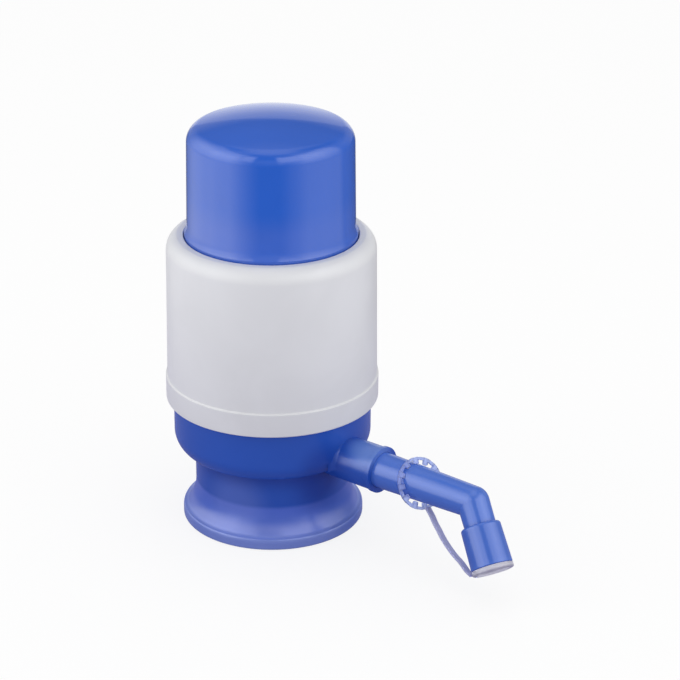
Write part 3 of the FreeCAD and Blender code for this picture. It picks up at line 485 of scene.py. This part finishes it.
def arc_between(start, end, radius, count):
    """Points of an arc of a given radius from one point to another, bulging outwards."""
    start, end = Vector(start), Vector(end)
    chord = end - start
    side = Vector((-chord.y, chord.x)).normalized()
    hub = (start + end) / 2 + side * math.sqrt(radius ** 2 - chord.length_squared / 4)
    first, last = (math.degrees(math.atan2(p.y - hub.y, p.x - hub.x)) for p in (start, end))
    return arc_points(hub, radius, first, last, count)


housing_outline = (
    rounded([(HOUSING_SEAT, HOUSING_FOOT, SOFT), (BAND, HOUSING_FOOT, BAND_FOOT_ROUND),
             (BAND, BAND_TOP, BAND_EDGE),
             (HOUSING + BAND_STEP, BAND_TOP + BAND_EDGE, BAND_STEP_ROUND),
             shoulder_start], 5)[:-1]
    + arc_between(shoulder_start, shoulder_end, SHOULDER_ARC, 24)
    + rounded([shoulder_end, (OPENING, SHOULDER_TOP, OPENING_ROUND), (OPENING, ROOF, CRISP),
               (ROOF_IN, ROOF, CRISP), (HOUSING_BORE, SHOULDER, SHOULDER_ROUND),
               (HOUSING_BORE, LEDGE_TOP, CRISP), (LEDGE, LEDGE_TOP, CRISP),
               (LEDGE, LEDGE_FOOT, CRISP), (HOUSING_SEAT, LEDGE_FOOT), (HOUSING_SEAT, SNAP_TOP),
               (SNAP, SNAP_TOP), (SNAP, SNAP_FOOT), (HOUSING_SEAT, SNAP_FOOT),
               (HOUSING_SEAT, HOUSING_FOOT)], 4)[1:-1])
housing_white = moulded("housing_white_plastic", (0.678, 0.683, 0.705), roughness=0.42, grain=0.3)
housing = new_piece("housing_sleeve", turned(housing_outline, facets=180), housing_white,
                    "pump")
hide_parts("pump_housing")

# ---------------------------------------------------------------- push cap
# Blue domed cap of glossy plastic that the palm presses. A thin lip flares out above the
# housing, and the skirt below it runs down inside the sleeve with a stop and a guide ring.

GUIDE, SKIRT_FOOT, CAP_TOP = size_of("push_cap")
CAP, CAP_TOP_RADIUS, SKIRT, CAP_WALL = 35.0, 34.5, 36.1, 1.8
LIP_FOOT, LIP_TOP, STOP, STOP_TOP, RIB = 128.8, 133.3, 38.2, 125.3, 2.0
BORE_STEP_FOOT, BORE_STEP_TOP = 129.0, 131.0
CORNER, RISE = 7.0, 3.6
corner_x = CAP_TOP_RADIUS - CORNER
crown = (corner_x ** 2 + RISE ** 2) / (2 * RISE)
crown_y = CAP_TOP - crown
corner_y = crown_y + math.sqrt((crown - CORNER) ** 2 - corner_x ** 2)
join = math.degrees(math.atan2(corner_y - crown_y, corner_x))
inner_corner, inner_top = CORNER - CAP_WALL, CAP_TOP - CAP_WALL
inner_rise = inner_top - corner_y - inner_corner
inner_crown = (corner_x ** 2 + inner_rise ** 2) / (2 * inner_rise)
inner_join = math.degrees(math.atan2(inner_crown - inner_rise, corner_x))
lip_reach, lip_rise = SKIRT - CAP, LIP_TOP - LIP_FOOT
lip_sweep = (lip_reach ** 2 + lip_rise ** 2) / (2 * lip_reach)
lip_lean = math.degrees(math.asin(lip_rise / lip_sweep))
cap_outline = (
    rounded([(SKIRT - CAP_WALL, SKIRT_FOOT, CRISP), (GUIDE, SKIRT_FOOT, SOFT),
             (GUIDE, SKIRT_FOOT + RIB, SOFT), (SKIRT, SKIRT_FOOT + RIB, CRISP),
             (SKIRT, STOP_TOP - RIB, CRISP), (STOP, STOP_TOP - RIB, CRISP),
             (STOP, STOP_TOP, CRISP), (SKIRT, STOP_TOP, CRISP), (SKIRT, LIP_FOOT)], 5)[:-1]
    + arc_points((CAP + lip_sweep, LIP_TOP), lip_sweep, 180 + lip_lean, 180, 12)
    + arc_points((corner_x, corner_y), CORNER, 0, join, 22)
    + arc_points((0, crown_y), crown, join, 90, 26)[1:-1]
    + [(0.0, CAP_TOP), (0.0, inner_top)]
    + arc_points((0, inner_top - inner_crown), inner_crown, 90, inner_join, 16)[1:]
    + arc_points((corner_x, corner_y), inner_corner, 90, 0, 12)[1:]
    + [(CAP - CAP_WALL, BORE_STEP_TOP), (SKIRT - CAP_WALL, BORE_STEP_FOOT)])

BLUE, LILAC_TOWARDS_FOOT = (0.020, 0.106, 0.540), (0.32, 0.30, 0.56)
CAP_SIDE = (35.5, -2.0, 138.0)
cap_blue = moulded("cap_blue_plastic", BLUE, roughness=0.09, wear=0.05)
# A little paler and lilac towards the foot of the cap.
tinted_over_height(cap_blue, start=150.0, full=138.0, share=0.08, colour=LILAC_TOWARDS_FOOT)
# Painted shade on the cap's right side: its own blue again, holding back the paler tint.
tinted_round_spot(cap_blue, CAP_SIDE, near=6.0, far=22.0, share=0.45, colour=BLUE)
cap = new_piece("push_dome", turned(cap_outline, facets=180), cap_blue, "cap")
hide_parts("push_cap")

# Ring inside the dome that stands on the bellows' top plate and presses it down.
PRESS, PRESS_GAP = 28.0, 0.3
plate_top = size_of("bellows_top_plate")[2]
press_top = corner_y + inner_corner - PRESS_GAP
press_outline = rounded([
    (PRESS - CAP_WALL, plate_top, CRISP), (PRESS, plate_top, CRISP), (PRESS, press_top),
    (PRESS - CAP_WALL, press_top)], 3)
new_piece("press_ring", turned(press_outline), cap_blue, "cap")

# ---------------------------------------------------------------- spout
# Blue tapered pipe with a mitred elbow. Its plug turns in the socket, sealed by an O-ring,
# and a separate sleeve is pressed over its end as the nozzle.

SPOUT_HEIGHT, SPOUT_TURN, BEND_X, BEND = 37.0, -20.0, 105.4, 55.5
LIT_SPOUT_BLUE, DULL_BLUE = (0.066, 0.160, 0.590), (0.03, 0.09, 0.42)
TIP_MIDDLE = (115.9, -5.2, 22.7)
# The spout's blue is painted paler than the other blue parts: painted light, as the spout is lit
# more brightly.
spout_blue = moulded("spout_blue_plastic", LIT_SPOUT_BLUE, roughness=0.18)
# Darker round the middle of the nozzle sleeve.
tinted_round_spot(spout_blue, TIP_MIDDLE, near=10.0, far=13.0, share=0.25, colour=DULL_BLUE)
finish(spout_blue, "spout")
finish(black_rubber, "spout_o_ring")

spout_place = (Matrix.Translation((0, 0, SPOUT_HEIGHT * MM))
               @ Matrix.Rotation(math.radians(SPOUT_TURN), 4, "X"))
tip_place = (spout_place @ Matrix.Translation((BEND_X * MM, 0, 0))
             @ Matrix.Rotation(math.radians(90 + BEND), 4, "Y"))
TIP_SEAT, TIP, TIP_END, TIP_BORE = 6.77, 8.25, 8.65, 6.4
TIP_START, TIP_FACE, TUBE_END, TIP_ROUND = 9.8, 27.2, 19.1, 1.3
tip_outline = rounded([
    (TIP_SEAT, TIP_START, CRISP), (TIP, TIP_START, TIP_ROUND), (TIP_END, TIP_FACE, SOFT),
    (TIP_BORE, TIP_FACE, CRISP), (TIP_BORE, TUBE_END), (TIP_SEAT, TUBE_END)], 6)
tip = new_piece("nozzle_sleeve", turned(tip_outline, tip_place, 96), spout_blue,
                "spout")
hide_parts("nozzle_tip")

# ---------------------------------------------------------------- tether and dust cap
# Soft clear polyethylene moulding, slightly lilac: a toothed ring that is pushed over the pipe
# and hangs askew, a flat strap, and the dust cap that plugs the nozzle.


def soft_clear(name, colour, see_through, bending):
    """Translucent polyethylene with a waxy, slightly clouded skin."""
    material, tree, skin, where = shader(name)
    haze = clouds(tree, where, 150.0, 2.0)
    mottled(tree, skin, haze, [(0.3, tuple(c * 0.96 for c in colour)), (0.7, colour)],
            [(0.3, 0.28), (0.7, 0.36)])
    skin.inputs["Transmission Weight"].default_value = see_through
    skin.inputs["IOR"].default_value = bending
    raised(tree, skin, haze, 0.1, 0.05)
    return material


tether_lilac = soft_clear("tether_soft_plastic", (0.52, 0.61, 0.96), see_through=0.62,
                          bending=1.12)
RING_X, RING_YAW, RING_PITCH, PIPE_ROOM = 78.7, -23.5, 21.7, 7.54
RING_OUT, RING_IN, RING_THICK, RING_EDGE = 10.9, 9.7, 1.1, 0.18
TEETH, TOOTH_TIP, TOOTH_HALF, TOOTH_CUT = 12, 8.0, 1.0, 0.25
EDGE_TURN = 1.2               # radians, an edge of the ring that is rounded turns more
ring_place = (spout_place @ Matrix.Translation((RING_X * MM, 0, 0))
              @ Matrix.Rotation(math.radians(RING_YAW), 4, "Z")
              @ Matrix.Rotation(math.radians(-RING_PITCH), 4, "Y")
              @ Matrix.Rotation(math.radians(90), 4, "Y"))


def toothed_outline():
    """Inner line of the ring: teeth with cut corners that point at the pipe."""
    half_tooth = [(RING_IN, TOOTH_HALF + TOOTH_CUT), (RING_IN - TOOTH_CUT, TOOTH_HALF),
                  (TOOTH_TIP + TOOTH_CUT, TOOTH_HALF), (TOOTH_TIP, TOOTH_HALF - TOOTH_CUT)]
    tooth = [(x, -y) for x, y in half_tooth] + [(TOOTH_TIP, 0.0)] + half_tooth[::-1]
    outline = []
    for number in range(TEETH):
        turn = Matrix.Rotation(math.tau * (number + 0.5) / TEETH, 2)
        outline += [turn @ Vector(point) for point in tooth]
    return outline


def toothed_ring():
    """Flat ring with rounded teeth that lie back where they touch the pipe."""
    outline = toothed_outline()
    shape = bmesh.new()
    layers = []
    for height in (-RING_THICK / 2, RING_THICK / 2):
        inner = [Vector((p.x, p.y, height)) for p in outline]
        outer = [Vector((*(p.normalized() * RING_OUT), height)) for p in outline]
        layers.append([[shape.verts.new(p * MM) for p in line] for line in (inner, outer)])
    (low_in, low_out), (high_in, high_out) = layers
    for this, beside in ((low_in, low_out), (low_out, high_out),
                         (high_out, high_in), (high_in, low_in)):
        for k in range(len(outline)):
            n = (k + 1) % len(outline)
            shape.faces.new((this[k], this[n], beside[n], beside[k]))
    edges = [edge for edge in shape.edges if edge.calc_face_angle(0) > EDGE_TURN]
    bmesh.ops.bevel(shape, geom=edges, offset=RING_EDGE * MM, segments=2, affect="EDGES",
                    profile=0.5, clamp_overlap=True)
    to_pipe = spout_place.inverted() @ ring_place
    for vert in shape.verts:
        near = to_pipe @ vert.co
        off = math.hypot(near.y, near.z)
        if off < PIPE_ROOM * MM:
            near.y, near.z = (c * PIPE_ROOM * MM / off for c in (near.y, near.z))
        vert.co = spout_place @ near
    for face in shape.faces:
        face.smooth = True
    return shape


ring = new_piece("toothed_ring", toothed_ring(), tether_lilac, "spout")
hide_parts("tether_ring")

# The strap's middle line runs in the plane of the elbow: along the pipe and up from its axis.
STRAP_WIDE, STRAP_THICK, STRAP_ASIDE, STRAP_EDGE = 3.6, 1.0, 0.3, 0.35
STRAP_LINE = [(84.7, -8.7), (87.3, -10.9), (89.8, -13.5), (92.7, -16.1), (95.4, -18.6),
              (98.6, -21.0), (102.2, -23.3), (106.3, -25.4), (109.8, -27.7), (112.7, -28.9)]


def smooth_line(points, steps=5):
    """Points of a smooth curve through the given ones."""
    run = []
    padded = [points[0] * 2 - points[1], *points, points[-1] * 2 - points[-2]]
    for before, here, ahead, after in zip(padded, padded[1:], padded[2:], padded[3:]):
        for step in range(steps):
            t = step / steps
            run.append((here * 2 + (ahead - before) * t
                        + (before * 2 - here * 5 + ahead * 4 - after) * t * t
                        + (here * 3 - before - ahead * 3 + after) * t ** 3) / 2)
    return run + [points[-1]]


def flat_strap():
    """Flat strip with rounded edges, swept along its line in the plane of the elbow."""
    line = smooth_line([Vector(p) for p in STRAP_LINE])
    half, thick = STRAP_WIDE / 2, STRAP_THICK / 2
    section = rounded([(-half, -thick, STRAP_EDGE), (half, -thick, STRAP_EDGE),
                       (half, thick, STRAP_EDGE), (-half, thick, STRAP_EDGE)], 3)
    shape = bmesh.new()
    rings = []
    for index, point in enumerate(line):
        ahead = line[min(index + 1, len(line) - 1)] - line[max(index - 1, 0)]
        across = Vector((-ahead.y, ahead.x)).normalized()
        rings.append([shape.verts.new(spout_place @ (Vector(
            (point.x + across.x * s.y, s.x + STRAP_ASIDE, point.y + across.y * s.y)) * MM))
            for s in section])
    return tube_skin(shape, rings)


strap_lilac = soft_clear("strap_soft_plastic", (0.56, 0.57, 0.82), see_through=0.30,
                         bending=1.15)
strap = new_piece("tether_strip", flat_strap(), strap_lilac, None)
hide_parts("tether_strap")
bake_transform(strap)

dust_clear = soft_clear("dust_cap_soft_plastic", (0.84, 0.83, 0.93), see_through=0.55,
                        bending=1.35)
DUST_FACE, DUST_OUT, DUST_ROUND = 27.3, 29.4, 0.75
PLUG, PLUG_IN, PLUG_DEEP, PLUG_LEAD, PLUG_ROOT = 6.3, 5.3, 20.8, 0.6, 0.1
RECESS_RIM, RECESS_FLOOR, RECESS_DEEP = 6.9, 6.4, 0.8
dust_outline = rounded([
    (0.0, DUST_FACE), (PLUG_IN, DUST_FACE, SOFT), (PLUG_IN, PLUG_DEEP, CRISP),
    (PLUG, PLUG_DEEP, PLUG_LEAD), (PLUG, DUST_FACE, PLUG_ROOT), (TIP_END, DUST_FACE, CRISP),
    (TIP_END, DUST_OUT, DUST_ROUND), (RECESS_RIM, DUST_OUT, CRISP),
    (RECESS_FLOOR, DUST_OUT - RECESS_DEEP, CRISP), (0.0, DUST_OUT - RECESS_DEEP)], 5)
dust = new_piece("dust_plug", turned(dust_outline, tip_place, 96), dust_clear,
                 "dust")
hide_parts("spout_cap")

# ---------------------------------------------------------------- floor, light and camera
# A plain white table and soft studio light: tall pale panels left and right of the pump, a
# darker gap in front and a white wall behind, which the glossy plastic mirrors.

FRONT = 38.25        # degrees round the pump that the panels are set out from
PANEL_POWER, SOFT_FILL = 4.4, 0.86
SHADOW_SHARE, NEAR_GLOW, FAR_GLOW = 0.18, 0.10, 1.3
LEFT_SHARE, RIGHT_SHARE, BACK_SHARE = 0.52, 0.34, 0.22    # of the light that the table sends on
TABLE_HALF, TABLE_DROP = 3.0, 0.0002                      # metres, as the distances below
CLEAR_FROM, CLEAR_FULL, BACK_FROM, BACK_FULL = 0.15, 0.35, 0.5, 0.9
# As the pump sees it, the table is darker lilac paper: painted shade and painted blue bounce
# light.
SHADE_AND_BOUNCE_PAPER, WHITE_PAPER = (0.33, 0.31, 0.48, 1.0), (0.95, 0.95, 0.95, 1.0)


def at(degrees):
    """Place on a ramp of an angle round the pump: negative is to its left."""
    return 0.5 + degrees / 360


def up(degrees):
    """Place on a ramp of an angle above the horizon."""
    return 0.5 + math.sin(math.radians(degrees)) / 2


def work(tree, operation, first, second=0.0):
    """One step of arithmetic on sockets or numbers."""
    return wire(tree, "ShaderNodeMath", {"operation": operation}, _0=first, _1=second).outputs[0]


def scaled(tree, value, times, plus):
    """A socket times a number, plus a number."""
    return wire(tree, "ShaderNodeMath", {"operation": "MULTIPLY_ADD"}, _0=value, _1=times,
                _2=plus).outputs[0]


def either(tree, amount, off, on):
    """One strength where the amount is nothing, another where it is full."""
    return wire(tree, "ShaderNodeMix", _0=amount, _2=off, _3=on).outputs[0]


def bearing(tree, way):
    """Places on the ramps of a direction: round the pump and above the horizon."""
    to_front = wire(tree, "ShaderNodeVectorRotate", {"rotation_type": "Z_AXIS"}, Vector=way,
                    Angle=math.radians(90 - FRONT))
    split = wire(tree, "ShaderNodeSeparateXYZ", _0=to_front.outputs["Vector"])
    angle = work(tree, "ARCTAN2", split.outputs["Y"], split.outputs["X"])
    turn = wire(tree, "ShaderNodeMapRange", Value=angle, From_Min=-math.pi, From_Max=math.pi)
    rise = wire(tree, "ShaderNodeMapRange", Value=split.outputs["Z"], From_Min=-1.0)
    return turn.outputs["Result"], rise.outputs["Result"]


def left_panel(tree, turn):
    """Tall pale panel to the left, which fades towards the front."""
    return ramp(tree, turn, [
        (at(-165), 0.0), (at(-150), 0.08), (at(-137), 0.22), (at(-124), 0.46), (at(-108), 0.70),
        (at(-95), 0.84), (at(-84), 1.0), (at(-55), 1.0), (at(-47), 0.80), (at(-38), 0.52),
        (at(-29), 0.29), (at(-21), 0.12), (at(-13), 0.0)], "LINEAR")


def right_panel(tree, turn):
    """The second panel, farther round to the right."""
    return ramp(tree, turn, [
        (at(12), 0.0), (at(20), 0.12), (at(28), 0.34), (at(36), 0.50), (at(44), 0.74),
        (at(52), 0.92), (at(70), 0.92), (at(80), 0.86), (at(91), 0.70), (at(104), 0.55),
        (at(114), 0.18), (at(135), 0.05), (at(150), 0.0)], "LINEAR")


def table_glow(tree, where):
    """Strength of the glow that the pump mirrors in the table, and the share of that glow:
    nothing by the foot, all of it farther off."""
    turn = bearing(tree, where)[0]
    away = wire(tree, "ShaderNodeVectorMath", {"operation": "LENGTH"}, _0=where).outputs["Value"]
    behind = ramp(tree, turn, [
        (at(-168), 1.0), (at(-155), 0.0), (at(155), 0.0), (at(168), 1.0)], "LINEAR")
    back = work(tree, "MULTIPLY", fade(tree, away, BACK_FROM, BACK_FULL, BACK_SHARE), behind)
    left = work(tree, "MULTIPLY", left_panel(tree, turn), LEFT_SHARE)
    right = work(tree, "MULTIPLY", right_panel(tree, turn), RIGHT_SHARE)
    lit = work(tree, "MAXIMUM", left, work(tree, "MAXIMUM", back, right))
    return scaled(tree, lit, PANEL_POWER, NEAR_GLOW), fade(tree, away, CLEAR_FROM, CLEAR_FULL)


def table_finish(name):
    """White paper that shows plain with a faint shadow; to the pump it glows with painted light
    farther off.
    """
    material, tree, skin, where = shader(name)
    ray = wire(tree, "ShaderNodeLightPath").outputs
    shown = work(tree, "MAXIMUM", ray["Is Camera Ray"], ray["Is Transmission Ray"])
    paper = wire(tree, "ShaderNodeMix", {"data_type": "RGBA"}, _0=shown, _6=SHADE_AND_BOUNCE_PAPER,
                 _7=WHITE_PAPER)
    tree.links.new(paper.outputs[2], skin.inputs["Base Color"])
    skin.inputs["Roughness"].default_value = 0.9
    skin.inputs["Specular IOR Level"].default_value = 0.0
    mirrored, clear = table_glow(tree, where)
    unseen = either(tree, ray["Is Glossy Ray"], FAR_GLOW, mirrored)
    glow = wire(tree, "ShaderNodeEmission", Color=(1, 1, 1, 1),
                Strength=either(tree, shown, unseen, 1.0))
    lit = wire(tree, "ShaderNodeMixShader", _0=either(tree, shown, clear, 1.0 - SHADOW_SHARE),
               _1=skin.outputs["BSDF"], _2=glow.outputs["Emission"])
    tree.links.new(lit.outputs["Shader"], tree.nodes["Material Output"].inputs["Surface"])
    return material


floor_mesh = bpy.data.meshes.new("floor")
floor_mesh.from_pydata([(x * TABLE_HALF, y * TABLE_HALF, 0) for x, y in
                        ((-1, -1), (1, -1), (1, 1), (-1, 1))], [], [(0, 1, 2, 3)])
floor_mesh.materials.append(table_finish("white_table"))
floor = bpy.data.objects.new("floor", floor_mesh)
bpy.context.scene.collection.objects.link(floor)
floor.location.z = -TABLE_DROP


def side_light(tree, turn, rise):
    """The two tall panels, and the two wings nearer the front that the cap's edge mirrors."""
    left_height = ramp(tree, rise, [
        (up(-28), 0.50), (up(-18), 0.52), (up(-8), 0.62), (up(3), 0.75), (up(12), 0.82),
        (up(24), 1.0), (up(36), 0.96), (up(47), 0.70), (up(54), 0.60), (up(60), 0.25),
        (up(72), 0.20)], "LINEAR")
    right_height = ramp(tree, rise, [
        (up(-28), 0.30), (up(-18), 0.34), (up(-6), 0.46), (up(5), 0.56), (up(12), 0.70),
        (up(25), 0.88), (up(38), 1.0), (up(50), 0.80), (up(60), 0.25), (up(72), 0.20)],
        "LINEAR")
    wings = ramp(tree, turn, [
        (at(-50), 0.0), (at(-40), 0.70), (at(-25), 0.60), (at(-20), 0.0), (at(8), 0.0),
        (at(13), 0.60), (at(42), 0.75), (at(54), 0.0)], "LINEAR")
    wing_height = ramp(tree, rise, [
        (up(-8), 0.0), (up(12), 0.4), (up(28), 1.0), (up(48), 1.0), (up(56), 0.3),
        (up(70), 0.0)], "LINEAR")
    sides = work(tree, "MAXIMUM",
                 work(tree, "MULTIPLY", left_panel(tree, turn), left_height),
                 work(tree, "MULTIPLY", right_panel(tree, turn), right_height))
    return work(tree, "MAXIMUM", sides, work(tree, "MULTIPLY", wings, wing_height))


def room_light(tree, turn, rise):
    """The dim room in front of the pump and behind it, which is palest at the ceiling."""
    front_room = ramp(tree, rise, [
        (up(-20), 0.045), (up(0), 0.07), (up(19), 0.14), (up(32), 0.12), (up(42), 0.04),
        (up(54), 0.05), (up(66), 0.10), (up(76), 0.30), (up(89), 0.36)], "LINEAR")
    back_room = ramp(tree, rise, [
        (up(-20), 0.05), (up(0), 0.11), (up(18), 0.10), (up(26), 0.045), (up(32), 0.06),
        (up(45), 0.085), (up(60), 0.20), (up(72), 0.34), (up(89), 0.38)], "LINEAR")
    behind = ramp(tree, turn, [
        (at(-155), 1.0), (at(-125), 0.0), (at(125), 0.0), (at(155), 1.0)], "LINEAR")
    return either(tree, behind, front_room, back_room)


# Half its width as a share of a turn, half its height, and how far its middle lies below the
# horizon.
BACK_LIGHT_WIDE, BACK_LIGHT_HIGH, BACK_LIGHT_LOW = 20 / 360, math.radians(31.5), math.radians(8)


def back_light(tree, turn, rise):
    """Oval pale patch straight behind the pump, brightest at the horizon."""
    half = work(tree, "ABSOLUTE", work(tree, "SUBTRACT", turn, 0.5))
    across = work(tree, "DIVIDE", work(tree, "SUBTRACT", 0.5, half), BACK_LIGHT_WIDE)
    slope = work(tree, "ARCSINE", scaled(tree, rise, 2.0, -1.0))
    along = work(tree, "DIVIDE", work(tree, "ADD", slope, BACK_LIGHT_LOW), BACK_LIGHT_HIGH)
    from_middle = work(tree, "ADD", work(tree, "MULTIPLY", across, across),
                       work(tree, "MULTIPLY", along, along))
    return work(tree, "MULTIPLY",
                ramp(tree, from_middle, [(0.0, 1.0), (0.94, 1.0), (1.0, 0.0)], "LINEAR"),
                ramp(tree, rise, [(up(-20), 0.20), (up(0), 0.25), (up(10), 0.22),
                                  (up(14), 0.19), (up(24), 0.15)], "LINEAR"))


PLAIN_WHITE = 0.975           # how bright the bare background shows
world = bpy.data.worlds.new("studio")
bpy.context.scene.world = world
world.use_nodes = True
sky = world.node_tree
turn, rise = bearing(sky, wire(sky, "ShaderNodeTexCoord").outputs["Generated"])
panels = work(sky, "MAXIMUM", back_light(sky, turn, rise), side_light(sky, turn, rise))
mirrored = work(sky, "MULTIPLY", work(sky, "MAXIMUM", panels, room_light(sky, turn, rise)),
                PANEL_POWER)
ray = wire(sky, "ShaderNodeLightPath").outputs
shiny = either(sky, ray["Is Glossy Ray"], SOFT_FILL, mirrored)
plain_rays = work(sky, "MAXIMUM", ray["Is Camera Ray"], ray["Is Transmission Ray"])
room = sky.nodes["Background"]
sky.links.new(either(sky, plain_rays, shiny, PLAIN_WHITE), room.inputs["Strength"])
room.inputs["Color"].default_value = (1.0, 1.0, 1.0, 1.0)


MIDDLE = Vector((0.02, 0.0, 0.09))


def soft_lamp(name, place, wide, power):
    """A large soft lamp that lights the pump without a mirror image of its own."""
    lamp = bpy.data.lights.new(name, "AREA")
    lamp.shape, lamp.size, lamp.energy = "DISK", wide, power
    holder = bpy.data.objects.new(name, lamp)
    bpy.context.scene.collection.objects.link(holder)
    holder.location = place
    holder.rotation_euler = (MIDDLE - Vector(place)).to_track_quat("-Z", "Y").to_euler()
    holder.visible_glossy = False


soft_lamp("lamp_above", (0.1, -0.1, 1.3), wide=0.9, power=1.2)
soft_lamp("lamp_left", (-0.75, -0.85, 0.55), wide=0.8, power=1.5)
soft_lamp("lamp_right", (1.15, 0.05, 0.55), wide=0.8, power=1.2)

CAMERA_PLACE, CAMERA_AIM = Vector((0.6038, -0.7198, 0.4878)), Vector((0.02246, 0.01771, 0.0797))
CAMERA_LEAN, LENS, SENSOR = 0.3, 128.6, 36.0
view = bpy.data.cameras.new("camera")
view.lens, view.sensor_width = LENS, SENSOR
camera = bpy.data.objects.new("camera", view)
bpy.context.scene.collection.objects.link(camera)
camera.location = CAMERA_PLACE
level = (CAMERA_AIM - CAMERA_PLACE).to_track_quat("-Z", "Y").to_matrix()
camera.rotation_euler = (level @ Matrix.Rotation(math.radians(CAMERA_LEAN), 3, "Z")).to_euler()
bpy.context.scene.camera = camera
bpy.context.scene.view_settings.view_transform = "Standard"
